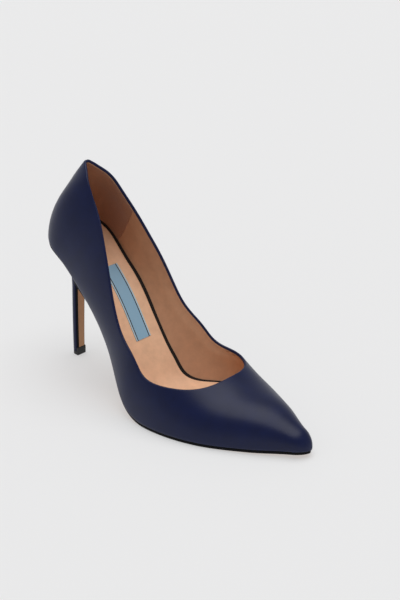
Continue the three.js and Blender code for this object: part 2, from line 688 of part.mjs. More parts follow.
const pieces = [
  ['upper', upper(), NAVY],
  ['topline_tape', toplineTape(), WEBBING],
  ['vamp_lining', vampLining(), TAN],
  ['lateral_quarter_lining', quarterLining(-1), TAN],
  ['medial_quarter_lining', quarterLining(1), TAN],
  ['heel_grip', heelGrip(), BROWN],
  ['toe_puff', toePuff(), STIFF],
  ['heel_counter', heelCounter(), STIFF],
  ['insole_board', insoleBoard(), BOARD_BROWN],
  ['steel_shank', steelShank(), STEEL],
  ['shank_rivet_rear', shankRivet(RIVETS[0]), STEEL],
  ['shank_rivet_front', shankRivet(RIVETS[1]), STEEL],
  ['bottom_filler', bottomFiller(), CORK],
  ['sock_foam', sockFoam(), FOAM_BLACK],
  ['sock_lining', sockLining(), TAN],
  ['sock_label', sockLabel(), LABEL_BLUE],
  ['outsole', outsole(), SOLE_TAN],
  ['heel_core', heelCore(), PLASTIC],
  ['heel_cover', heelCover(), NAVY],
  ['heel_pin_tube', heelPinTube(), STEEL],
  ['top_piece', topPiece(), BLACK],
  ['top_piece_pin', topPiecePin(), STEEL],
  ['heel_screw', heelScrew(), STEEL],
  ...NAILS.map((at, k) => [`heel_nail_${k + 1}`, heelNail(at), STEEL]),
];

const pump = new THREE.Group();
pump.name = 'stiletto_pump';
const bounds = new THREE.Box3();
for (const [name, geometry, finish] of pieces) {
  geometry.computeBoundingBox();
  bounds.union(geometry.boundingBox);
  const mesh = new THREE.Mesh(geometry, finish);
  mesh.name = name;
  pump.add(mesh);
}
// The middle of the footprint becomes the origin.
const middle = bounds.getCenter(new THREE.Vector3());
for (const mesh of pump.children) {
  mesh.geometry.translate(-middle.x, -middle.y, 0);
  mesh.geometry.computeVertexNormals();
}

export default pump;
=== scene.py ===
"""A pointed pump for the right foot in smooth navy leather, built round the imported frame.

The shape section is in millimetres and follows the same last (foot shape) as the CAD part:
  station  distance along the bottom, 0 at the back seam, LENGTH at the tip of the toe
  v        share of the wall, 0 at the feather edge, 1 at the ridge
  side     -1 the outer side of the foot (-X), +1 the inner side (+X)
Points are arrays (..., 3); to_row() takes them to metres in the row frame.
"""
import math

import bmesh
import bpy
import numpy as np
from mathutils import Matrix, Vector


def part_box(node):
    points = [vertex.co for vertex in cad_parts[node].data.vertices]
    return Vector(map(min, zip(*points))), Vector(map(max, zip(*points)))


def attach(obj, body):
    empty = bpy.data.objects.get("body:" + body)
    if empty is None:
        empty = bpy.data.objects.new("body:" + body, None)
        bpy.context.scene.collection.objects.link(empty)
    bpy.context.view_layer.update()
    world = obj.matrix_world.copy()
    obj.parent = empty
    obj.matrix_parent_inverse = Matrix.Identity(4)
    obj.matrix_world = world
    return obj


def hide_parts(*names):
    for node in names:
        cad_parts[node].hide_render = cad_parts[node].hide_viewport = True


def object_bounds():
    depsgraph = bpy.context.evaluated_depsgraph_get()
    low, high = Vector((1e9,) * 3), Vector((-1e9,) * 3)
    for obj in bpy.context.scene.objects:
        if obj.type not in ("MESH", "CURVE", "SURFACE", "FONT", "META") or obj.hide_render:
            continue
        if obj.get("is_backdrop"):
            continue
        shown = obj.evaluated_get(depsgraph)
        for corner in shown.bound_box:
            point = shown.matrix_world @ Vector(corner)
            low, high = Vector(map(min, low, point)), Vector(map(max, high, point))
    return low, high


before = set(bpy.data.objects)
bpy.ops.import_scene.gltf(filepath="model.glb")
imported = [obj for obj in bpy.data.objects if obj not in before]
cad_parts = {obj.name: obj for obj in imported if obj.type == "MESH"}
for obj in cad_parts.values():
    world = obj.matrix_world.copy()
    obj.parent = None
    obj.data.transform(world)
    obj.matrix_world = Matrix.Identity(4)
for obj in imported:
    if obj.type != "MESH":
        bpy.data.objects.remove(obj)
cad_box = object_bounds()

# ---- driving dimensions, millimetres and degrees, as in the CAD part ------------------------
LENGTH = 260  # along the bottom, back seam to tip of the toe
SOLE = 2.2  # height of the feather plane over the floor at the tread
SEAT_PIVOT = 27  # station round whose middle the back of the heel turns
SEAT_SQUARENESS = 2.35  # exponent of the rounded heel outline
TOP_SQUARENESS = 2.7  # the same at the top edge
WALL_TILT = 3  # how far the quarters lean over to the inner side
NOSE_LENGTH = 8.5  # rounded end of the toe
SWING = -3  # how far the middle line swings to the outer side
THROAT = 195  # front of the opening
THROAT_START = 140  # station where the top edge begins to turn across the foot
THROAT_SQUARENESS = 2.3
TREAD = 172  # station that rests on the floor
SLOPES = [[0, 33], [46, 33], [94, 47.5], [127, 47.5], [165, 0], [180, 0], [280, -4.5]]
LEANS = [[0, 33], [27, 33], [90, 38], [190, 0], [280, -4]]
# station, half width of the feather edge on the outer and the inner side, height of the ridge
SECTIONS = [
    [27, 23, 22, 62], [60, 25.2, 14.3, 68], [100, 29.3, 5, 68], [140, 41, 4, 58],
    [170, 43.5, 25.5, 45], [200, 37.5, 31, 28], [230, 23, 19, 21], [250, 10.5, 7.6, 12.5],
    [260, 7, 4.6, 8.5],
]
# station and how far the wall swells beyond the feather edge
BULGE = {
    "outer": [[27, 1.8], [100, 9], [140, 3], [170, 1.5], [260, 3]],
    "inner": [[27, 5.5], [100, 32.6], [140, 42.3], [170, 18.3], [200, 5.5], [260, 2]],
}
# reach behind the pivot and height of the back of the heel, feather edge to top
BACK_WALL = [[22, 0], [32, 12.5], [33.5, 40.5], [25, 72.4]]
# station and share of the wall at the top edge
TOPLINE = {
    "outer": [[0, 0.82], [27, 0.79], [60, 0.57], [100, 0.355], [THROAT_START, 0.41]],
    "inner": [[0, 0.82], [27, 0.78], [60, 0.56], [100, 0.375], [THROAT_START, 0.4]],
}
QUARTER_TO_VAMP = [60, 165]  # stations between which the section changes its shape
RIDGE_OFFSET = 4  # the quarters' ridge lies this far beside the middle
BELLY_HEIGHT = [0.2, 0.46]  # height share of the widest part, in the quarters and the vamp
SHOULDER_WIDTH = [0.7, 0.73]  # width share above it
SHOULDER_HEIGHT = [0.72, 1]
UPPER_DEEP = 1.2  # thickness of the upper leather
SEAM_GROOVE = [0.28, 0.12]  # depth of the groove along the back seam, and just beside it
LINING = [2.42, 3.25]  # depths of the back and the face of the lining
SKIVED_UPPER = 0.65  # the layers are pared thin toward the top edge
SKIVED_LINING = [1.55, 2.2]
SKIVE = 9  # width of the paring
ROLL = 0.95  # radius of the turned top edge
TURN_IN = 2.2  # how far the turned edge goes down inside
LINING_DROP = 1.3  # the lining is trimmed this far below the top edge
GRIP_PROUD = 0.35  # the heel grip lies over the quarter lining
UPPER_MARGINS = [11, 5]  # rows of the upper turned under the foot, in from the feather edge
LINING_MARGINS = [8, 3]
FEATHER_ROUND = 1.0  # radius where the upper turns under
GRIP_END = 40  # station of the seam between heel grip and quarters
VAMP_SEAM = 150  # station of the seam between quarters and vamp lining
SOCK_TOP = 8.6  # height of the sock over the feather plane at the heel
SOCK_DIP = 1.2  # how much lower it is under the toes
OUTER_GAP = 0.5  # clearance of the sock to the lining
INNER_GAP = [2.3, 1.4]  # the same on the inner side, at the heel and at the ball
SOCK_END = 236
SOCK_ROUND = 0.9  # radius of the sock's edge
SOCK_RISE = 2.2  # how far the sock climbs the inner wall at the arch
SOCK_CROWN = 0.5  # how much the padding lifts its middle
SOCK_SUNK = 0.4  # how far its rim lies below its nominal height
SOCK_EDGE = 0.6  # how far below that height its outline is found
SOCK_THICK = 1.0
# height of the padding's base, then how far its top lies under the top of the sock
FOAM = {"base": 5.3, "below": 1.7, "rim_below": 0.8, "edge_below": 0.2}
# from station to station; x of its middle at both ends; how far it is let into the sock
LABEL = {"start": 54, "end": 107, "half": 6.5, "x": [0, -8], "thick": 0.3, "sunk": 0.2}
STEM = {"front": 20.5, "back": 15.4, "half": 3.8, "half_top": 4.4, "x": -3.3}
STEM_TOP = 50  # height where the stem begins to flare
STEM_SHARE = 0.4  # share of the heel's levels that the stem takes
# side view of the breast and the back: lean of the stem, control point of the flare
BREAST = {"lean": 0.9, "pull": [28, 77.8]}
BACK = {"lean": 0.6, "pull": [10.5, 84]}
TIP_TOP = 3.2  # top of the base of the top piece
SEAT_FRONT = 52  # station where the outsole leaves the heel seat
SEAT_HALF = 22.3
SEAT_X = -0.5
SEAT_GAP = 0.3  # glue gap between the upper and what is under it
SEAT_TAPER = 0.22  # how much narrower the inner front corner of the seat is
COVER = 0.8  # thickness of the heel cover
COVER_WRAP = 2.1  # width of the cover turned onto the breast, each side
FLAP = {"gap": 0.2, "thick": 1.4, "end": 6.3, "inset": 0.9}
SOLE_INSET = 0.8
FLOOR_SIZE = 8  # metres
FLOOR_TONE = 0.42
FLOOR_GLOW = 0.435

# ---- small mathematics ----------------------------------------------------------------------


def mix(a, b, u):
    return a + (b - a) * u


def ease(low, high, x):
    u = np.clip((x - low) / (high - low), 0, 1)
    return u * u * (3 - 2 * u)


def through(points, level_end=False):
    """Smooth curve through [x, y] points, level at its start, and at its end when asked."""
    xs, ys = np.array(points, float).T
    slopes = np.empty_like(ys)
    slopes[1:-1] = (ys[2:] - ys[:-2]) / (xs[2:] - xs[:-2])
    slopes[0] = 0
    slopes[-1] = 0 if level_end else (ys[-1] - ys[-2]) / (xs[-1] - xs[-2])

    def curve(x):
        at = np.clip(x, xs[0], xs[-1])
        k = np.clip(np.searchsorted(xs, at, side="right") - 1, 0, len(xs) - 2)
        span = xs[k + 1] - xs[k]
        u = (at - xs[k]) / span
        bend = (1 - u) ** 2 * u * slopes[k] * span - u * u * (1 - u) * slopes[k + 1] * span
        return mix(ys[k], ys[k + 1], u * u * (3 - 2 * u)) + bend

    return curve


def bezier(p, u):
    """Cubic over control values p[..., 0:4]."""
    w = 1 - u
    return w**3 * p[..., 0] + 3 * w * w * u * p[..., 1] + 3 * w * u * u * p[..., 2] + u**3 * p[..., 3]


def dot(a, b):
    return (a * b).sum(-1)


def unit(a):
    return a / np.maximum(np.linalg.norm(a, axis=-1, keepdims=True), 1e-9)


def vectors(x, y, z):
    return np.stack(np.broadcast_arrays(x, y, z), -1).astype(float)


# ---- the last -------------------------------------------------------------------------------


def angle_at(angles, t):
    """Radians at station t, from [station, degrees] pairs."""
    stations, degrees = np.array(angles, float).T
    k = np.clip(np.searchsorted(stations, t, side="left"), 1, len(stations) - 1)
    return np.radians(mix(degrees[k - 1], degrees[k], ease(stations[k - 1], stations[k], t)))


def slope_at(t):
    return angle_at(SLOPES, t)


def side_profile():
    """Forward distance and height of the feather plane at every millimetre."""
    mid = slope_at(np.arange(LENGTH + 1) + 0.5)
    forward = np.concatenate([[0], np.cumsum(np.cos(mid))])
    height = np.concatenate([[0], -np.cumsum(np.sin(mid))])
    return forward, height + SOLE - height[TREAD]


FORWARD, HEIGHT = side_profile()
STEPS = np.arange(len(FORWARD))


def forward_at(t):
    over = np.minimum(t, 0)
    return np.interp(t, STEPS, FORWARD) + over * math.cos(slope_at(0))


def height_at(t):
    over = np.minimum(t, 0)
    return np.interp(t, STEPS, HEIGHT) - over * math.sin(slope_at(0))


def place(t, x, h):
    """The point at station t, x across and h above the bottom."""
    a = slope_at(np.maximum(t, 0))
    return vectors(x, -forward_at(t) - np.sin(a) * h, height_at(t) + np.cos(a) * h)


def along(t):
    a = slope_at(t)
    return vectors(0, -np.cos(a), -np.sin(a))


def upward(t):
    a = slope_at(t)
    return vectors(0, -np.sin(a), np.cos(a))


FEATHER = {
    "outer": through([[t, outer] for t, outer, _, _ in SECTIONS]),
    "inner": through([[t, inner] for t, _, inner, _ in SECTIONS]),
}
RIDGE = through([[t, ridge] for t, _, _, ridge in SECTIONS])
SWELL = {name: through(points) for name, points in BULGE.items()}
TOP_SHARE = {name: through(points, True) for name, points in TOPLINE.items()}


def by_side(curves, side, t):
    return np.where(side < 0, curves["outer"](t), curves["inner"](t))


def centre(t):
    """X of the middle line of the last."""
    return SWING * np.sin(np.pi * np.clip((t - SEAT_PIVOT) / (LENGTH - SEAT_PIVOT), 0, 1))


def nose(t, power, inset=0.0):
    """0 at the tip of the toe, 1 behind the rounded nose."""
    back = np.clip((LENGTH - inset - t) / NOSE_LENGTH, 0, 1)
    return (1 - (1 - back) ** power) ** (1 / power)


def half_section(t, side):
    """Control widths and heights, (..., 4) each, of half a cross-section."""
    fore = ease(*QUARTER_TO_VAMP, t)
    width = by_side(FEATHER, side, t) * nose(t, 2)
    swollen = width + by_side(SWELL, side, t) * nose(t, 2)
    height = RIDGE(t) * nose(t, 2.2)
    ridge = RIDGE_OFFSET * (1 - fore)
    shoulder = mix(*SHOULDER_WIDTH, fore) * swollen + ridge
    widths = np.stack([width, swollen, shoulder, ridge], -1)
    belly = mix(*BELLY_HEIGHT, fore) * height
    heights = np.stack([0 * t, belly, mix(*SHOULDER_HEIGHT, fore) * height, height], -1)
    return widths, heights


def skin(station, v, side):
    """Outer face of the upper."""
    station, v, side = np.broadcast_arrays(np.asarray(station, float), v, side)
    side = np.where(station < 0, -side, side)
    station = np.abs(station)
    t = np.maximum(station, SEAT_PIVOT)
    turn = (1 - np.minimum(station, SEAT_PIVOT) / SEAT_PIVOT) * np.pi / 2
    c, s = np.cos(turn), np.sin(turn)
    widths, heights = half_section(t, side)
    reach, back_height = np.array(BACK_WALL, float).T
    power = mix(SEAT_SQUARENESS, TOP_SQUARENESS, v)[..., None]
    swept = (c[..., None] / np.maximum(widths, 1e-6)) ** power + (s[..., None] / reach) ** power
    fan = (station < SEAT_PIVOT)[..., None]
    c2 = (c * c)[..., None]
    radii = np.where(fan, swept ** (-1 / power), widths)
    rises = np.where(fan, heights * c2 + back_height * (1 - c2), heights)
    r, h = bezier(radii, v), bezier(rises, v)
    lean = angle_at(LEANS, t)
    stand = vectors(0, -np.sin(lean), np.cos(lean)) * h[..., None]
    tilt = WALL_TILT * v * v * (1 - ease(*QUARTER_TO_VAMP, t))
    across = place(t, centre(t) + tilt + side * r * c, 0.0)
    return across + stand - along(t) * (r * s)[..., None]


def slopes_of(station, v, side):
    """Change of the skin per millimetre of station and per unit of v."""
    step = 0.02
    s = np.minimum(station, LENGTH - 0.3)
    low, high = np.maximum(v - step, 0), np.minimum(v + step, 1)
    per_v = (skin(s, high, side) - skin(s, low, side)) / (high - low)[..., None]
    per_s = (skin(s + step, v, side) - skin(s - step, v, side)) / (2 * step)
    return per_s, per_v


def inward(station, v, side):
    """Unit vector into the shoe from the outer skin."""
    station, v = np.broadcast_arrays(np.asarray(station, float), v)
    per_s, per_v = slopes_of(station, v, side)
    return unit(np.cross(per_v, per_s) * -side)


def top_edge(station, side):
    """The share v of the wall at the top edge."""
    share = by_side(TOP_SHARE, side, station)
    u = np.clip((station - THROAT_START) / (THROAT - THROAT_START), 0, 1)
    return 1 - (1 - share) * (1 - u**THROAT_SQUARENESS) ** (1 / THROAT_SQUARENESS)


def wall(station, v, side, depth):
    """The skin moved into the shoe; at the feather edge it also keeps its height."""
    station, v = np.broadcast_arrays(np.asarray(station, float), v)
    point = skin(station, v, side)
    into = inward(station, v, side)
    up = upward(np.maximum(station, SEAT_PIVOT))
    corner = (into + up) / (1 + dot(into, up))[..., None]
    moved = point + np.where((v > 0)[..., None], into, corner) * depth
    tip = point + (up - along(station)) * depth
    return np.where((station >= LENGTH)[..., None], tip, moved)


def margin(station, width, side, depth):
    """The edge turned under the foot, some way in from the feather edge."""
    t = np.maximum(station, SEAT_PIVOT)
    edge = skin(station, np.zeros_like(station), side)
    spine = place(t, centre(t), 0.0)
    gap = np.linalg.norm(edge - spine, axis=-1)
    share = np.minimum(width / np.maximum(gap, 1e-3), 0.7)[..., None]
    turned = edge + (spine - edge) * share + upward(t) * depth
    tip = wall(station, np.zeros_like(station), side, depth)
    return np.where((station >= LENGTH)[..., None], tip, turned)


# ---- meshes ---------------------------------------------------------------------------------
MM = 0.001


def frame_shift():
    """Where the row frame has the origin of the last, from the CAD upper's own box."""
    low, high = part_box("upper")
    tip = skin(np.array([float(LENGTH)]), 0.0, -1)[0]
    stations = np.linspace(100, 230, 261)[:, None]
    widest = skin(stations, np.linspace(0, 0.5, 51)[None], 1)[..., 0].max()
    return np.array([high.x - widest * MM, low.y - tip[1] * MM, 0.0])


SHIFT = frame_shift()


def to_row(points):
    return np.asarray(points, float) * MM + SHIFT


class Body:
    """Grids of points gathered into one mesh; points that meet are welded."""

    def __init__(self):
        self.points = []
        self.faces = []
        self.finish = []
        self.uvs = {}
        self.count = 0

    def grid(self, points, finish=0, wrap_rows=False, uv=None):
        """points[column, row, 3]; wrapping joins the last row to the first."""
        columns, rows = points.shape[:2]
        index = self.count + np.arange(columns * rows).reshape(columns, rows)
        self.points.append(points.reshape(-1, 3))
        self.count += columns * rows
        if wrap_rows:
            index = np.concatenate([index, index[:, :1]], 1)
        corners = [index[:-1, :-1], index[1:, :-1], index[1:, 1:], index[:-1, 1:]]
        quads = np.stack(corners, -1).reshape(-1, 4)
        marks = np.broadcast_to(finish, (index.shape[0] - 1, index.shape[1] - 1)).reshape(-1)
        if uv is not None:
            self.uvs.update(zip(index.ravel().tolist(), uv.reshape(-1, 2).tolist()))
        self.faces.extend(quads.tolist())
        self.finish.extend(marks.tolist())

    def fan(self, ring, finish=0):
        """A flat cap over a ring of points."""
        self.points.append(ring)
        self.faces.append(list(range(self.count, self.count + len(ring))))
        self.finish.append(finish)
        self.count += len(ring)

    def build(self, name, materials, weld=0.02, crease=None):
        """The object, in metres; crease in degrees keeps sharper edges sharp."""
        mesh = bpy.data.meshes.new(name)
        mesh.from_pydata(to_row(np.concatenate(self.points)), [], self.faces)
        mesh.polygons.foreach_set("material_index", self.finish)
        if self.uvs:
            layer = mesh.uv_layers.new(name="UVMap")
            for loop in mesh.loops:
                layer.data[loop.index].uv = self.uvs.get(loop.vertex_index, (0, 0))
        for m in materials:
            mesh.materials.append(m)
        b = bmesh.new()
        b.from_mesh(mesh)
        bmesh.ops.remove_doubles(b, verts=b.verts, dist=weld * MM)
        bmesh.ops.dissolve_degenerate(b, edges=b.edges, dist=weld * MM / 4)
        bmesh.ops.recalc_face_normals(b, faces=b.faces)
        b.to_mesh(mesh)
        b.free()
        mesh.polygons.foreach_set("use_smooth", [True] * len(mesh.polygons))
        if crease:
            mesh.set_sharp_from_angle(angle=math.radians(crease))
        piece = bpy.data.objects.new(name, mesh)
        bpy.context.scene.collection.objects.link(piece)
        return piece


def fit_piece(piece, slot_name, *nodes):
    """The piece rides on the one rigid body and stands for the named CAD nodes."""
    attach(piece, "root")
    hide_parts(*nodes)
    return piece


# ---- columns of the wall --------------------------------------------------------------------
WALL_ROWS = 26  # rows from the feather edge up


class Columns:
    """Columns of the wall on one side: a band under the top edge, then the closed toe."""

    def __init__(self, side):
        self.side = side
        fan = np.concatenate([[0, 0.35, 0.8], np.linspace(1.6, SEAT_PIVOT, 17)])
        waist = np.sort(np.append(np.linspace(SEAT_PIVOT, THROAT_START, 62)[1:], GRIP_END))
        turn = np.linspace(0, np.pi / 2, 40)[1:]
        power = 2 / THROAT_SQUARENESS
        share = float(by_side(TOP_SHARE, side, THROAT_START))
        throat_s = mix(THROAT_START, THROAT, np.sin(turn) ** power)
        throat_v = 1 - (1 - share) * np.cos(turn) ** power
        throat_v[-1] = 1
        before = np.concatenate([fan, waist])
        self.edge_s = np.concatenate([before, throat_s])
        self.edge_v = np.concatenate([top_edge(before, side), throat_v])
        even = np.linspace(THROAT_START, THROAT + 1, len(turn) + 1)[1:]
        self.base_s = np.concatenate([before, even])

    def edges(self):
        return skin(self.edge_s, self.edge_v, self.side)


OUTER, INNER = Columns(-1), Columns(1)


def edge_frames():
    """Round the opening: top edge points, outward direction of the edge, inward normal of the skin."""
    loop = np.concatenate([OUTER.edges()[::-1], INNER.edges()[1:]])
    run = np.roll(loop, -1, 0) - np.roll(loop, 1, 0)
    into = np.concatenate([
        inward(OUTER.edge_s, OUTER.edge_v, -1)[::-1],
        inward(INNER.edge_s, INNER.edge_v, 1)[1:],
    ])
    into[0] = into[-1] = unit(into[0] + into[-1])
    out = unit(np.cross(unit(run), into))
    return loop, out, into


def prepare_columns():
    """Gives each column its place in the loop round the opening, and its way down the wall."""
    loop, out, into = edge_frames()
    last = len(OUTER.edge_s) - 1
    # the edge points away from the wall below it
    below = skin(OUTER.edge_s[10], OUTER.edge_v[10] - 0.05, -1)
    if dot(out[last - 10], loop[last - 10] - below) < 0:
        out = -out
    throat_out = np.array([0, 1.0, 0]) - into[0] * into[0][1]
    out[0] = out[-1] = unit(throat_out)
    for columns, part in ((OUTER, slice(last, None, -1)), (INNER, slice(last, None))):
        columns.top = loop[part]
        columns.out = out[part]
        columns.into = into[part]
        per_s, per_v = slopes_of(columns.edge_s, columns.edge_v, columns.side)
        ss, sv, vv = dot(per_s, per_s), dot(per_s, per_v), dot(per_v, per_v)
        bs, bv = -dot(per_s, columns.out), -dot(per_v, columns.out)
        size = ss * vv - sv * sv
        columns.step_s = (bs * vv - bv * sv) / size      # station and v per millimetre below
        columns.step_v = (bv * ss - bs * sv) / size
        columns.step_v[-1] = 0
        columns.step_s[0] = 0


prepare_columns()


def below_edge(columns, distance):
    """Station and v a distance below the top edge, for each column."""
    s = columns.edge_s + columns.step_s * distance
    v = columns.edge_v + columns.step_v * distance
    return s, v


def edge_curl(columns_s, side, radius):
    """Rows round the turn at the feather edge: (v, inset) pairs for distances up the wall."""
    t = np.maximum(columns_s, SEAT_PIVOT)
    size = radius * nose(np.minimum(t, LENGTH), 2)
    tall = np.linalg.norm(skin(columns_s, 0.02, side) - skin(columns_s, 0.0, side), axis=-1) / 0.02
    rows = []
    for turn in np.radians([0, 22, 45, 67]):
        rise = size * (1 - math.cos(turn))
        rows.append((rise / np.maximum(tall, 1e-3), size * (1 - math.sin(turn))))
    return rows


def wall_rows(columns_s, top_s, top_v, side, depth, margins, round_feather, edge_depth=None):
    """Points [column, row] from the margin's inner edge up to the given top of each column."""
    rows = [margin(columns_s, width, side, depth) for width in margins]
    edge_depth = depth if edge_depth is None else edge_depth
    rise = skin(top_s, top_v, side) - skin(columns_s, 0.0, side)
    tall = np.maximum(np.linalg.norm(rise, axis=-1), 1.0)
    start = np.zeros_like(columns_s)
    if round_feather:
        for v, inset in edge_curl(columns_s, side, FEATHER_ROUND):
            point = skin(columns_s, v, side)
            t = np.maximum(columns_s, SEAT_PIVOT)
            spine = place(t, centre(t), 0.0)
            toward = spine - skin(columns_s, 0.0, side)
            gap = np.maximum(np.linalg.norm(toward, axis=-1), 1e-6)
            toward = toward / gap[..., None]
            move = toward * np.minimum(inset, 0.9 * gap)[..., None]
            rows.append(np.where((columns_s >= LENGTH)[..., None], point, point + move))
            start = v
    else:
        rows.append(wall(columns_s, start, side, depth))
    for share in np.linspace(0, 1, WALL_ROWS + 1)[1:]:
        s = mix(columns_s, top_s, share)
        v = mix(start, top_v, share)
        pared = mix(edge_depth, depth, ease(0, SKIVE, (1 - share) * tall))[..., None]
        rows.append(wall(s, np.clip(v, 0, 1), side, pared))
    return np.stack(rows, 1)


def rolled(columns, profile):
    """Points [column, row] at (distance out past the top edge, depth) pairs."""
    return np.stack([columns.top + columns.out * a + columns.into * b for a, b in profile], 1)


def toe_stations(start):
    """Columns of the closed toe, from where the band under the top edge ends."""
    straight = np.linspace(THROAT + 1, LENGTH - NOSE_LENGTH, 34)
    straight[0] = start
    turn = np.radians(np.linspace(0, 90, 13)[1:])
    return np.concatenate([straight, LENGTH - NOSE_LENGTH * (1 - np.sin(turn))])


# ---- leather pieces -------------------------------------------------------------------------


def upper_piece(materials):
    body = Body()
    turn = np.radians(np.linspace(15, 180, 12))
    roll = [(-ROLL + ROLL * math.sin(a), ROLL - ROLL * math.cos(a)) for a in turn]
    flange = [(-TURN_IN, 2 * ROLL), (-TURN_IN, 0.9), (-0.9, 0.85)]
    for columns in (OUTER, INNER):
        side = columns.side
        s, v = below_edge(columns, ROLL)
        s[-1] = THROAT + ROLL / np.linalg.norm(slopes_of(np.array(THROAT + 0.0), np.array(1.0), 1)[0])
        v = np.clip(v, 0, 1)
        v[-1] = 1
        base = columns.base_s.copy()
        base[-1] = s[-1]
        face = wall_rows(base, s, v, side, 0.0, UPPER_MARGINS, True)
        back = wall_rows(base, s, v, side, UPPER_DEEP, UPPER_MARGINS, False, SKIVED_UPPER)
        edge = rolled(columns, roll + flange)
        ring = np.concatenate([face, edge, back[:, ::-1]], 1)
        groove = np.array(SEAM_GROOVE)[:, None, None]
        ring[:2] += inward(columns.base_s[:2], 0.4, side)[:, None] * groove
        body.grid(ring, wrap_rows=True)
        toe = toe_stations(s[-1])
        tops = np.ones_like(toe)
        toe_face = wall_rows(toe, toe, tops, side, 0.0, UPPER_MARGINS, True)
        toe_back = wall_rows(toe, toe, tops, side, UPPER_DEEP, UPPER_MARGINS, False)
        body.grid(toe_face)
        body.grid(toe_back)
        body.grid(np.stack([toe_face[:, 0], toe_back[:, 0]], 1))
    piece = body.build("leather_upper", materials, weld=0.05)
    return fit_piece(piece, "navy_leather", "upper")


def lining_grid(columns, first, last, proud=0.0):
    """The band columns of a lining between two stations: closed ring of points per column."""
    seam = columns.base_s[np.argmin(abs(columns.base_s - last))]
    start = columns.base_s[np.argmin(abs(columns.base_s - first))]
    keep = (columns.base_s >= start) & (columns.base_s <= seam)
    s, v = below_edge(columns, LINING_DROP + 0.4)
    v = np.clip(v, 0, 1)
    s[-1] = THROAT + LINING_DROP + 0.4
    v[-1] = 1
    base = columns.base_s.copy()
    base[-1] = s[-1]
    low, high = SKIVED_LINING
    high += proud * 0.5
    back = wall_rows(base, s, v, columns.side, LINING[0], LINING_MARGINS, False, low)
    face = wall_rows(base, s, v, columns.side, LINING[1] + proud, LINING_MARGINS, False, high)
    cut = [
        (-LINING_DROP, low),
        (-LINING_DROP + 0.1, mix(low, high, 0.5)),
        (-LINING_DROP, high - 0.12),
        (-LINING_DROP - 0.15, high),
    ]
    edge = rolled(columns, cut)
    ring = np.concatenate([back, edge, face[:, ::-1]], 1)
    marks = np.zeros(ring.shape[1], int)
    marks[back.shape[1] - 1:back.shape[1] + 3] = 1
    return ring[keep], marks, s[-1]


def close_end(body, ring):
    """Closes one end of a band of rings."""
    half = len(ring) // 2
    body.grid(np.stack([ring[:half], ring[::-1][:half]], 1))


def quarter_lining(columns, name, node, materials):
    body = Body()
    ring, marks, _ = lining_grid(columns, GRIP_END, VAMP_SEAM)
    body.grid(ring, marks[None, :], wrap_rows=True)
    close_end(body, ring[0])
    close_end(body, ring[-1])
    piece = body.build(name, materials, crease=50)
    return fit_piece(piece, "lining_leather", node)


def heel_grip(materials):
    body = Body()
    for columns in (OUTER, INNER):
        ring, marks, _ = lining_grid(columns, 0, GRIP_END, GRIP_PROUD)
        body.grid(ring, marks[None, :], wrap_rows=True)
        close_end(body, ring[-1])
    piece = body.build("suede_heel_grip", materials, crease=50)
    return fit_piece(piece, "grip_suede", "heel_grip")


def vamp_lining(materials):
    body = Body()
    for columns in (OUTER, INNER):
        ring, marks, start = lining_grid(columns, VAMP_SEAM, THROAT + 10)
        body.grid(ring, marks[None, :], wrap_rows=True)
        close_end(body, ring[0])
        toe = toe_stations(start)
        toe = toe[toe < LENGTH - 0.5]
        tops = np.ones_like(toe)
        back, face = (
            wall_rows(toe, toe, tops, columns.side, depth, LINING_MARGINS, False) for depth in LINING
        )
        body.grid(back)
        body.grid(face)
        body.grid(np.stack([back[:, 0], face[:, 0]], 1))
    piece = body.build("toe_lining", materials, crease=50)
    return fit_piece(piece, "lining_leather", "vamp_lining")


# ---- sock -----------------------------------------------------------------------------------


def foot_of(points, t):
    """Station and height over the bottom of points near station t."""
    for _ in range(8):
        t = t + dot(points - place(t, 0.0, 0.0), along(t))
    return t, dot(points - place(t, 0.0, 0.0), upward(t))


def sock_height(t):
    """Height of the sock's top over the bottom."""
    return SOCK_TOP - SOCK_DIP * ease(60, 150, t)


def climb(t):
    """How much the inner side of the sock turns up along the arch."""
    return SOCK_RISE * ease(8, 34, t) * (1 - ease(125, 160, t))


def sock_edge(stations, side, gap, drop):
    """Where the sock meets the lining: station and x, a gap away from its face."""
    low, high = np.zeros_like(stations), np.full_like(stations, 0.6)
    depth = LINING[1] + gap
    for _ in range(30):
        v = (low + high) / 2
        point = skin(stations, v, side) + inward(stations, v, side) * depth
        t, h = foot_of(point, stations)
        under = h < sock_height(t) - drop
        low, high = np.where(under, v, low), np.where(under, high, v)
    return t, point[..., 0]


def inner_gap(t):
    """Clearance of the sock to the lining on the inner side."""
    return mix(*INNER_GAP, ease(60, 115, t))


def close_slab(body, top, low, finish=0):
    """The four narrow faces between two equal grids."""
    for cut in (np.s_[:, 0], np.s_[:, -1], np.s_[0], np.s_[-1]):
        body.grid(np.stack([top[cut], low[cut]], 1), finish)


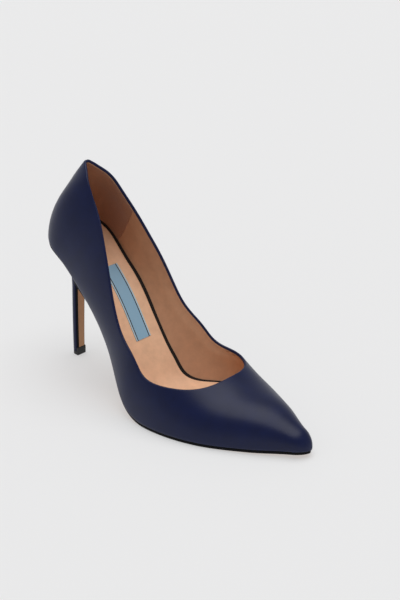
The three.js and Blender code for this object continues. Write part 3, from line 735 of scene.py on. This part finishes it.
def sock_piece(materials):
    """The sock; returns the station, x and height of each point of its top."""
    stations = np.concatenate([np.linspace(0, SEAT_PIVOT, 22), np.linspace(SEAT_PIVOT, SOCK_END, 110)[1:]])
    outer = sock_edge(stations, -1, OUTER_GAP, SOCK_EDGE)
    inner = sock_edge(stations, 1, inner_gap(stations)[:, None], SOCK_EDGE - climb(stations))
    across = 0.5 - 0.5 * np.cos(np.linspace(0, np.pi, 41))
    t = mix(outer[0][:, None], inner[0][:, None], across[None])
    x = mix(outer[1][:, None], inner[1][:, None], across[None])
    width = (inner[1] - outer[1])[:, None]
    from_edge = np.minimum(x - outer[1][:, None], inner[1][:, None] - x)
    from_edge = np.minimum(from_edge, t - t[0].min())
    curl = np.clip(1 - from_edge / SOCK_ROUND, 0, 1)
    drop = SOCK_ROUND * (1 - np.sqrt(1 - curl * curl))
    crown = SOCK_CROWN * np.clip(from_edge / 12, 0, 1) ** 0.5
    h = sock_height(t) - drop + crown - SOCK_SUNK
    inner_half = np.clip((x - x.mean(1, keepdims=True)) / np.maximum(width, 1), 0, 0.5) * 2
    h = h + climb(t) * ease(0.5, 1, inner_half)
    top = place(t, x, h)
    body = Body()
    body.grid(top)
    low = place(t, x, h - SOCK_THICK + drop - crown)
    body.grid(low)
    close_slab(body, top, low)
    piece = body.build("padded_sock", materials, crease=60)
    fit_piece(piece, "sock_leather", "sock_lining")
    return t, x, h


def foam_piece(materials):
    """Foam under the sock, out to the lining, coloured near-black as painted shade, so that the gap round
    the sock reads as a black shadow.
    """
    stations = np.concatenate([np.linspace(0, SEAT_PIVOT, 16), np.linspace(SEAT_PIVOT, SOCK_END, 80)[1:]])
    lift = climb(stations)
    gap = inner_gap(stations)[:, None]
    outer = sock_edge(stations, -1, 0.15, FOAM["below"])
    under = sock_edge(stations, 1, gap + 0.1, FOAM["below"] - lift)
    # the rim and the edge rise close under the sock's top, so that the near-black painted shade shows in
    # the gap
    rim = sock_edge(stations, 1, gap - 0.3, FOAM["rim_below"] - lift)
    lining = sock_edge(stations, 1, 0.1 + GRIP_PROUD, FOAM["edge_below"] - lift)
    across = np.linspace(0, 1, 12)[None]
    t, x = (
        np.hstack([mix(a[:, None], b[:, None], across), c[:, None], d[:, None]])
        for a, b, c, d in zip(outer, under, rim, lining)
    )
    share = np.append(ease(0.75, 1, across), [1, 1])
    sunk = np.append(across * 0 + FOAM["below"], [FOAM["rim_below"], FOAM["edge_below"]])
    top = place(t, x, sock_height(t) - sunk + climb(t) * share)
    low = place(t, x * 0.9, FOAM["base"] + 0 * t)
    body = Body()
    body.grid(top)
    body.grid(low)
    close_slab(body, top, low)
    piece = body.build("sock_foam_painted_shade", materials, crease=40)
    return fit_piece(piece, "latex_foam", "sock_foam")


def label_piece(sock_grid, materials):
    u = np.linspace(0, 1, 60)
    q = np.linspace(-1, 1, 17)
    t = mix(LABEL["start"], LABEL["end"], u)[:, None] + 0 * q[None]
    x = mix(*LABEL["x"], u)[:, None] + q[None] * LABEL["half"]
    h = surface_height(t, x, *sock_grid)
    top = place(t, x, h + LABEL["thick"])
    low = place(t, x, h - LABEL["sunk"])
    uv = np.stack(np.broadcast_arrays(u[:, None], (q[None] + 1) / 2), -1)
    body = Body()
    body.grid(top, uv=uv)
    body.grid(low)
    close_slab(body, top, low, 1)
    piece = body.build("woven_label", materials, weld=0.001, crease=40)
    return fit_piece(piece, "label_cloth", "sock_label")


def surface_height(t, x, t_grid, x_grid, h_grid):
    """Height of the sock's top at (t, x), from the station, x and height of its points."""
    row_t = t_grid.mean(1)
    out = np.zeros_like(t)
    for index in np.ndindex(t.shape):
        k = int(np.clip(np.searchsorted(row_t, t[index]) - 1, 0, len(row_t) - 2))
        share = (t[index] - row_t[k]) / (row_t[k + 1] - row_t[k])
        a = np.interp(x[index], x_grid[k], h_grid[k])
        b = np.interp(x[index], x_grid[k + 1], h_grid[k + 1])
        out[index] = mix(a, b, share)
    return out


# ---- heel and sole --------------------------------------------------------------------------
SEAT_BACK = place(SEAT_PIVOT - BACK_WALL[0][0] + 0.8, 0.0, -SEAT_GAP)
SEAT_FORE = place(SEAT_FRONT, 0.0, -SEAT_GAP)


def heel_line(u, at_floor, lean, crown, pull):
    """Side view [forward, up] of the breast or the back of the heel, u 0 at the tip, 1 at the seat."""
    foot = np.array([at_floor, TIP_TOP])
    neck = np.array([at_floor + lean, STEM_TOP])
    if u <= STEM_SHARE:
        return mix(foot, neck, u / STEM_SHARE)
    hold = neck + np.array([lean * 0.4, 18])
    controls = np.stack([neck, hold, np.array(pull), np.array(crown)], -1)
    return bezier(controls, (u - STEM_SHARE) / (1 - STEM_SHARE))


def breast_line(u):
    return heel_line(u, STEM["front"], BREAST["lean"], [-SEAT_FORE[1], SEAT_FORE[2]], BREAST["pull"])


def back_line(u):
    return heel_line(u, STEM["back"], BACK["lean"], [-SEAT_BACK[1], SEAT_BACK[2]], BACK["pull"])


def heel_half(u):
    """Half the width of the heel."""
    flare = np.clip((u - STEM_SHARE) / (1 - STEM_SHARE), 0, 1)
    return mix(mix(STEM["half"], STEM["half_top"], u / STEM_SHARE), SEAT_HALF, flare ** 2.4)


def heel_centre(u):
    return mix(STEM["x"], SEAT_X, ease(0, 1, u))


def seat_taper(u):
    """How much narrower the inner front corner is, toward the seat."""
    return SEAT_TAPER * ease(0.6, 1, u)


def front_clearance(u):
    """Toward the seat the front of the heel stays clear of the outsole."""
    return mix(0.1, 8.5, ease(0.75, 1, u))


def d_outline(front, back, half, x, inset, front_inset, taper, wrap, corner=0.9):
    """Ring of points [n, 3] of a D: from the breast round one side, the back and the other side."""
    depth = np.hypot(*(back - front))
    straight = max(depth - half, 0.5)
    corner = min(corner, straight * 0.9)
    turn = np.radians(np.linspace(0, 90, 7))
    breast = np.linspace(half - wrap, half - corner, 4)[:-1]
    across = np.concatenate([breast, half - corner + corner * np.sin(turn), [half] * 4])
    deep = np.concatenate([0 * breast, corner * (1 - np.cos(turn)), np.linspace(corner, straight, 5)[1:]])
    arc = np.radians(np.linspace(90, 0, 15)[1:])
    across = np.concatenate([across, half * np.sin(arc)])
    deep = np.concatenate([deep, straight + (depth - straight) * np.cos(arc)])
    across = across * (half - inset) / half
    deep = np.clip(front_inset + deep * (depth - inset - front_inset) / depth, 0, None)
    left = np.stack([-across, deep], -1)
    narrowed = 1 - taper * np.clip(1 - deep / straight, 0, 1)
    right = np.stack([across * narrowed, deep], -1)[::-1][1:]
    ring = np.concatenate([left, right])
    share = ring[:, 1:] / depth
    at = front[None] * (1 - share) + back[None] * share
    return vectors(x + ring[:, 0], -at[:, 0], at[:, 1])


def heel_ring(u, inset, front_inset):
    ring = (breast_line(u), back_line(u), heel_half(u), heel_centre(u))
    return d_outline(*ring, inset, front_inset, seat_taper(u), COVER_WRAP)


def heel_cover_piece(materials):
    levels = np.concatenate([np.linspace(0, STEM_SHARE, 10), np.linspace(STEM_SHARE, 1, 44)[1:]])
    outer = np.stack([heel_ring(u, 0, front_clearance(u)) for u in levels])
    inner = np.stack([heel_ring(u, COVER, front_clearance(u) + 0.3) for u in levels])
    ring = np.concatenate([outer, inner[:, ::-1]], 1)
    body = Body()
    body.grid(ring, wrap_rows=True)
    for level in (0, -1):
        body.grid(np.stack([outer[level], inner[level]], 1))
    piece = body.build("leather_heel_cover", materials, weld=0.002, crease=50)
    return fit_piece(piece, "navy_leather", "heel_cover")


def top_piece_piece(materials):
    front = STEM["front"] + FLAP["gap"] + FLAP["thick"]
    rings = []
    for z, inset in ((0, 0.35), (0.12, 0.15), (0.4, 0), (TIP_TOP - 0.35, 0), (TIP_TOP - 0.2, 0.15)):
        ends = (np.array([front, z]), np.array([STEM["back"], z]))
        rings.append(d_outline(*ends, STEM["half"], STEM["x"], inset, inset, 0, STEM["half"], 0.5))
    rings = np.stack(rings)
    body = Body()
    body.grid(rings, wrap_rows=True)
    body.fan(rings[0])
    body.fan(rings[-1][::-1])
    tall = FLAP["end"] - 0.3
    half = STEM["half"] - 0.15
    lips = []
    for z, inset in ((TIP_TOP - 1, 0), (tall - 0.35, 0), (tall - 0.1, 0.1), (tall, 0.35)):
        left, right = STEM["x"] - half + inset, STEM["x"] + half - inset
        near, far = -front + 0.02 + inset, -front + FLAP["thick"] - inset
        lips.append([[left, near, z], [right, near, z], [right, far, z], [left, far, z]])
    lips = np.array(lips, float)
    body.grid(lips, wrap_rows=True)
    body.fan(lips[0])
    body.fan(lips[-1])
    piece = body.build("rubber_top_piece", materials, weld=0.002, crease=35)
    return fit_piece(piece, "top_piece_rubber", "top_piece")


def sole_ring(x0, x1, thick, point):
    """Ring across the outsole: painted edges, worn-in corners and the flat tread."""
    r = min(0.5, (x1 - x0) / 2 * 0.6)
    turn = np.radians([0, 30, 60, 90])
    edge_x = r * (1 - np.cos(turn))
    edge_d = thick - r + r * np.sin(turn)
    flat = np.linspace(x0 + r, x1 - r, 9)[1:-1]
    xs = np.concatenate([[x0], x0 + edge_x, flat, (x1 - edge_x)[::-1], [x1], flat[::-1]])
    ds = np.concatenate([[0], edge_d, 0 * flat + thick, edge_d[::-1], [0], 0 * flat])
    return point(xs, ds)


# the strips of a sole ring that are painted black: the edges and the hidden upper face
SOLE_MARKS = np.array([1] * 4 + [0] * 8 + [1] * 12)


def outline(t, inset):
    """Half widths of the feather edge at station t, outer and inner side, some way in."""
    back = np.clip((SEAT_PIVOT - t) / (BACK_WALL[0][0] - inset), 0, 1)
    share = (1 - back ** SEAT_SQUARENESS) ** (1 / SEAT_SQUARENESS) * nose(t, 2, inset)
    return (by_side(FEATHER, -1, t) - inset) * share, (by_side(FEATHER, 1, t) - inset) * share


def tread_ring(t):
    """Ring of the outsole under the foot, thinner and narrower in the waist."""
    waist = ease(52, 75, t) * (1 - ease(125, 160, t))
    outer, inner = outline(t, SOLE_INSET + 0.7 * waist)
    x = float(centre(t))
    thick = SOLE - SEAT_GAP - 0.6 * waist
    return sole_ring(x - float(outer), x + float(inner), thick, lambda xs, d: place(t, xs, -SEAT_GAP - d))


def flap_ring(u):
    """Ring of the outsole down the breast of the heel."""
    here, ahead, behind = breast_line(u), breast_line(min(u + 0.01, 1)), breast_line(u - 0.01)
    run = (ahead - behind) / np.hypot(*(ahead - behind))
    blend = float(ease(0.9, 1, u))
    thick = mix(FLAP["thick"], SOLE - SEAT_GAP, blend)
    gap = mix(FLAP["gap"], 0.02, blend)
    outer, inner = outline(SEAT_FRONT, SOLE_INSET)
    reach = heel_half(u) - FLAP["inset"]
    x0 = mix(heel_centre(u) - reach, centre(SEAT_FRONT) - outer, blend)
    x1 = mix(heel_centre(u) + reach, centre(SEAT_FRONT) + inner, blend)
    x1 = mix(x1, heel_centre(u) + reach * (1 - seat_taper(u)), 1 - blend)

    def point(xs, d):
        off = here[:, None] + np.array([run[1], -run[0]])[:, None] * (gap + d)[None]
        return vectors(xs, -off[0], off[1])

    return sole_ring(float(x0), float(x1), thick, point)


def outsole_piece(materials):
    tip = LENGTH - SOLE_INSET
    nose_turn = np.radians(np.linspace(90, 0, 14))
    stations = np.concatenate([
        tip - NOSE_LENGTH * (1 - np.sin(nose_turn)),
        np.linspace(tip - NOSE_LENGTH, SEAT_FRONT + 2, 110)[1:],
    ])
    end = (FLAP["end"] - TIP_TOP) / (STEM_TOP - TIP_TOP) * STEM_SHARE
    levels = np.concatenate([np.linspace(1, STEM_SHARE, 50), np.linspace(STEM_SHARE, end, 10)[1:]])
    rings = np.stack([tread_ring(t) for t in stations] + [flap_ring(u) for u in levels])
    body = Body()
    body.grid(rings, SOLE_MARKS[None, :], wrap_rows=True)
    body.fan(rings[-1], 1)
    piece = body.build("leather_outsole", materials, weld=0.002, crease=50)
    return fit_piece(piece, "sole_leather", "outsole")


# ---- materials ------------------------------------------------------------------------------


class Shader:
    """A Principled material with its nodes added by short calls."""

    def __init__(self, name, color, roughness, metallic=0.0):
        self.material = bpy.data.materials.new(name)
        self.material.use_nodes = True
        self.tree = self.material.node_tree
        self.principled = self.tree.nodes["Principled BSDF"]
        self.principled.inputs["Base Color"].default_value = (*color, 1)
        self.principled.inputs["Roughness"].default_value = roughness
        self.principled.inputs["Metallic"].default_value = metallic
        self.place = self.node("ShaderNodeTexCoord").outputs["Object"]

    def node(self, kind, inputs=None, **settings):
        made = self.tree.nodes.new(kind)
        for key, value in settings.items():
            setattr(made, key, value)
        for key, value in (inputs or {}).items():
            if isinstance(value, bpy.types.NodeSocket):
                self.tree.links.new(value, made.inputs[key])
            else:
                made.inputs[key].default_value = value
        return made

    def link(self, socket, name):
        self.tree.links.new(socket, self.principled.inputs[name])

    def noise(self, size_mm, detail, roughness=0.5):
        """Noise with features about size_mm across."""
        scale = 1 / (size_mm * MM)
        made = self.node("ShaderNodeTexNoise", {
            "Vector": self.place, "Scale": scale, "Detail": detail, "Roughness": roughness,
        })
        return made.outputs["Fac"]

    def cells(self, size_mm):
        made = self.node("ShaderNodeTexVoronoi", {"Vector": self.place, "Scale": 1 / (size_mm * MM)})
        return made.outputs["Distance"]

    def ramp(self, value, stops):
        made = self.node("ShaderNodeValToRGB", {"Fac": value})
        elements = made.color_ramp.elements
        while len(elements) < len(stops):
            elements.new(0.5)
        for element, (at, color) in zip(elements, stops):
            element.position = at
            element.color = (*color, 1)
        return made.outputs["Color"]

    def scaled(self, value, low, high):
        made = self.node("ShaderNodeMapRange", {"Value": value, "To Min": low, "To Max": high})
        return made.outputs["Result"]

    def bump(self, layers):
        """layers: (height socket, height in mm); each is laid over the one before."""
        normal = None
        for value, height in layers:
            inputs = {"Height": value, "Strength": 1.0, "Distance": height * MM}
            if normal is not None:
                inputs["Normal"] = normal
            normal = self.node("ShaderNodeBump", inputs).outputs["Normal"]
        self.link(normal, "Normal")


def srgb(red, green, blue):
    """Linear colour of 0-255 display values."""
    return tuple((c / 255) ** 2.2 for c in (red, green, blue))


def tone(color, factor):
    return tuple(c * factor for c in color)


def navy_leather():
    base = srgb(14, 25, 62)
    m = Shader("navy_calf_leather", base, 0.34)
    m.link(m.ramp(m.noise(9, 4), [(0.3, tone(base, 0.88)), (0.7, tone(base, 1.1))]), "Base Color")
    m.link(m.scaled(m.noise(5, 4), 0.31, 0.4), "Roughness")
    m.principled.inputs["Specular IOR Level"].default_value = 0.28
    m.bump([(m.noise(1.2, 5, 0.6), 0.02), (m.cells(0.45), 0.012)])
    return m.material


def lining_leather(name, color, height):
    m = Shader(name, color, 0.6)
    m.link(m.ramp(m.noise(7, 5, 0.6), [(0.3, tone(color, 0.9)), (0.7, tone(color, 1.06))]), "Base Color")
    m.link(m.scaled(m.noise(2, 4), 0.52, 0.68), "Roughness")
    m.bump([(m.noise(1.6, 4), height), (m.cells(0.5), height / 2)])
    return m.material


def suede(name, color):
    m = Shader(name, color, 0.9)
    m.link(m.ramp(m.noise(0.5, 6, 0.7), [(0.3, tone(color, 0.75)), (0.7, tone(color, 1.2))]), "Base Color")
    m.principled.inputs["Sheen Weight"].default_value = 0.3
    m.bump([(m.noise(0.35, 6, 0.7), 0.08)])
    return m.material


def raw_edge(name, color):
    m = Shader(name, color, 0.85)
    m.link(m.ramp(m.noise(0.4, 5), [(0.3, tone(color, 0.8)), (0.7, tone(color, 1.1))]), "Base Color")
    m.bump([(m.noise(0.3, 5), 0.05)])
    return m.material


def plain(name, color, roughness, grain_mm, height, metallic=0.0, spread=0.12, specular=0.5):
    m = Shader(name, color, roughness, metallic)
    m.principled.inputs["Specular IOR Level"].default_value = specular
    stops = [(0.3, tone(color, 1 - spread)), (0.7, tone(color, 1 + spread))]
    m.link(m.ramp(m.noise(grain_mm, 4), stops), "Base Color")
    m.bump([(m.noise(grain_mm / 2, 4), height)])
    return m.material


def label_cloth():
    blue, pale, black = srgb(140, 178, 202), srgb(176, 202, 214), srgb(18, 22, 30)
    m = Shader("label_cloth", blue, 0.55)
    across = m.node("ShaderNodeSeparateXYZ", {"Vector": m.node("ShaderNodeTexCoord").outputs["UV"]})
    from_middle = m.node("ShaderNodeMath", {0: across.outputs["Y"], 1: 0.5}, operation="SUBTRACT")
    distance = m.node("ShaderNodeMath", {0: from_middle.outputs[0]}, operation="ABSOLUTE")
    bands = m.ramp(distance.outputs[0], [(0.0, blue), (0.36, black), (0.42, pale)])
    bands.node.color_ramp.interpolation = "CONSTANT"
    m.link(bands, "Base Color")
    m.bump([(m.noise(0.3, 2), 0.03)])
    return m.material


def paint_hidden_nodes():
    """Better materials for the CAD nodes that stay: tape, stiffeners, board, heel and fasteners."""
    finishes = {
        "topline_tape": plain("tan_cotton_webbing", srgb(178, 130, 98), 0.9, 0.8, 0.1),
        "toe_puff": plain("stiffener_sheet", srgb(214, 206, 190), 0.85, 1.5, 0.05),
        "insole_board": plain("fibre_board", srgb(150, 118, 84), 0.9, 2.0, 0.06),
        "bottom_filler": plain("cork_filler", srgb(166, 124, 82), 0.9, 1.5, 0.2, spread=0.3),
        "heel_core": plain("heel_plastic", srgb(205, 200, 188), 0.5, 4.0, 0.02),
        "steel_shank": plain("steel", srgb(176, 178, 182), 0.35, 3.0, 0.01, metallic=1.0),
    }
    finishes["heel_counter"] = finishes["toe_puff"]
    fasteners = ["shank_rivet_rear", "shank_rivet_front", "heel_pin_tube", "top_piece_pin", "heel_screw"]
    fasteners += [f"heel_nail_{k}" for k in range(1, 6)]
    for name in fasteners:
        finishes[name] = finishes["steel_shank"]
    for name, material in finishes.items():
        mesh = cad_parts[name].data
        mesh.materials.clear()
        mesh.materials.append(material)


# ---- stage ----------------------------------------------------------------------------------
VIEW = {"azimuth": -46.94, "elevation": 24.9, "distance": 0.9799, "target": (0.1272, 0.0936, 0.0)}
LENS = 76.2  # millimetres, on a sensor 36 mm wide


def camera():
    a, e = math.radians(VIEW["azimuth"]), math.radians(VIEW["elevation"])
    back = Vector((math.sin(a) * math.cos(e), -math.cos(a) * math.cos(e), math.sin(e)))
    data = bpy.data.cameras.new("camera")
    data.sensor_width = 36
    data.lens = LENS
    eye = bpy.data.objects.new("camera", data)
    eye.location = Vector(VIEW["target"]) + back * VIEW["distance"]
    eye.rotation_mode = "QUATERNION"
    eye.rotation_quaternion = (-back).to_track_quat("-Z", "Y")
    bpy.context.scene.collection.objects.link(eye)
    bpy.context.scene.camera = eye


def soft_key(name, azimuth, elevation, spread, power):
    """Broad even light from one direction; spread is its apparent size in degrees."""
    light = bpy.data.lights.new(name, "SUN")
    light.angle = math.radians(spread)
    light.energy = power
    lamp = bpy.data.objects.new(name, light)
    bpy.context.scene.collection.objects.link(lamp)
    turn, rise = math.radians(azimuth), math.radians(elevation)
    toward = Vector((math.sin(turn) * math.cos(rise), -math.cos(turn) * math.cos(rise), math.sin(rise)))
    lamp.rotation_euler = toward.to_track_quat("Z", "Y").to_euler()


def studio():
    """Pale backlit floor, an even surround and one soft light from above."""
    bpy.ops.mesh.primitive_plane_add(size=FLOOR_SIZE)
    floor = bpy.context.object
    floor.name = "floor"
    paper = Shader("backlit_paper", (FLOOR_TONE,) * 3, 0.9)
    paper.principled.inputs["Emission Color"].default_value = (1, 1, 1, 1)
    paper.principled.inputs["Emission Strength"].default_value = FLOOR_GLOW
    floor.data.materials.append(paper.material)
    floor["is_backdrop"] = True
    world = bpy.data.worlds.new("studio")
    bpy.context.scene.world = world
    world.use_nodes = True
    tree = world.node_tree
    direction = tree.nodes.new("ShaderNodeTexCoord").outputs["Generated"]
    split = tree.nodes.new("ShaderNodeSeparateXYZ")
    tree.links.new(direction, split.inputs[0])
    ramp = tree.nodes.new("ShaderNodeValToRGB")
    tree.links.new(split.outputs["Z"], ramp.inputs["Fac"])
    low, high = ramp.color_ramp.elements
    low.position, low.color = 0.2, (0.55, 0.55, 0.55, 1)
    high.position, high.color = 0.6, (0.35, 0.35, 0.36, 1)
    tree.links.new(ramp.outputs["Color"], tree.nodes["Background"].inputs["Color"])
    soft_key("key_softbox", azimuth=105, elevation=82, spread=55, power=1.6)
    bpy.context.scene.view_settings.view_transform = "Standard"


# ---- assembly -------------------------------------------------------------------------------
camera()
studio()
NAVY = navy_leather()
TAN = lining_leather("tan_lining_leather", srgb(198, 147, 112), 0.03)
SOCK_TAN = lining_leather("tan_sock_leather", srgb(240, 190, 152), 0.03)
BROWN = suede("brown_grip_suede", srgb(162, 108, 74))
PALE_EDGE = raw_edge("raw_leather_edge", srgb(176, 132, 104))
SOLE_TAN = lining_leather("sole_leather", srgb(174, 128, 92), 0.02)
BLACK = plain("black_edge_paint", srgb(12, 12, 16), 0.5, 2.0, 0.02, specular=0.12)
# near-black: painted shade for the gap round the sock
GAP_SHADE_BLACK = plain("foam_painted_gap_shade", srgb(30, 24, 22), 0.95, 0.8, 0.05)
RUBBER = plain("top_piece_rubber", srgb(20, 20, 22), 0.55, 1.0, 0.03)

upper_piece([NAVY])
vamp_lining([TAN, PALE_EDGE])
quarter_lining(OUTER, "outer_quarter_lining", "lateral_quarter_lining", [TAN, PALE_EDGE])
quarter_lining(INNER, "inner_quarter_lining", "medial_quarter_lining", [TAN, PALE_EDGE])
heel_grip([BROWN, PALE_EDGE])
sock_grid = sock_piece([SOCK_TAN])
label_piece(sock_grid, [label_cloth(), raw_edge("label_edge", srgb(60, 70, 80))])
foam_piece([GAP_SHADE_BLACK])
outsole_piece([SOLE_TAN, BLACK])
heel_cover_piece([NAVY])
top_piece_piece([RUBBER])
paint_hidden_nodes()

[[list(corner) for corner in box] for box in (cad_box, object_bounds())]
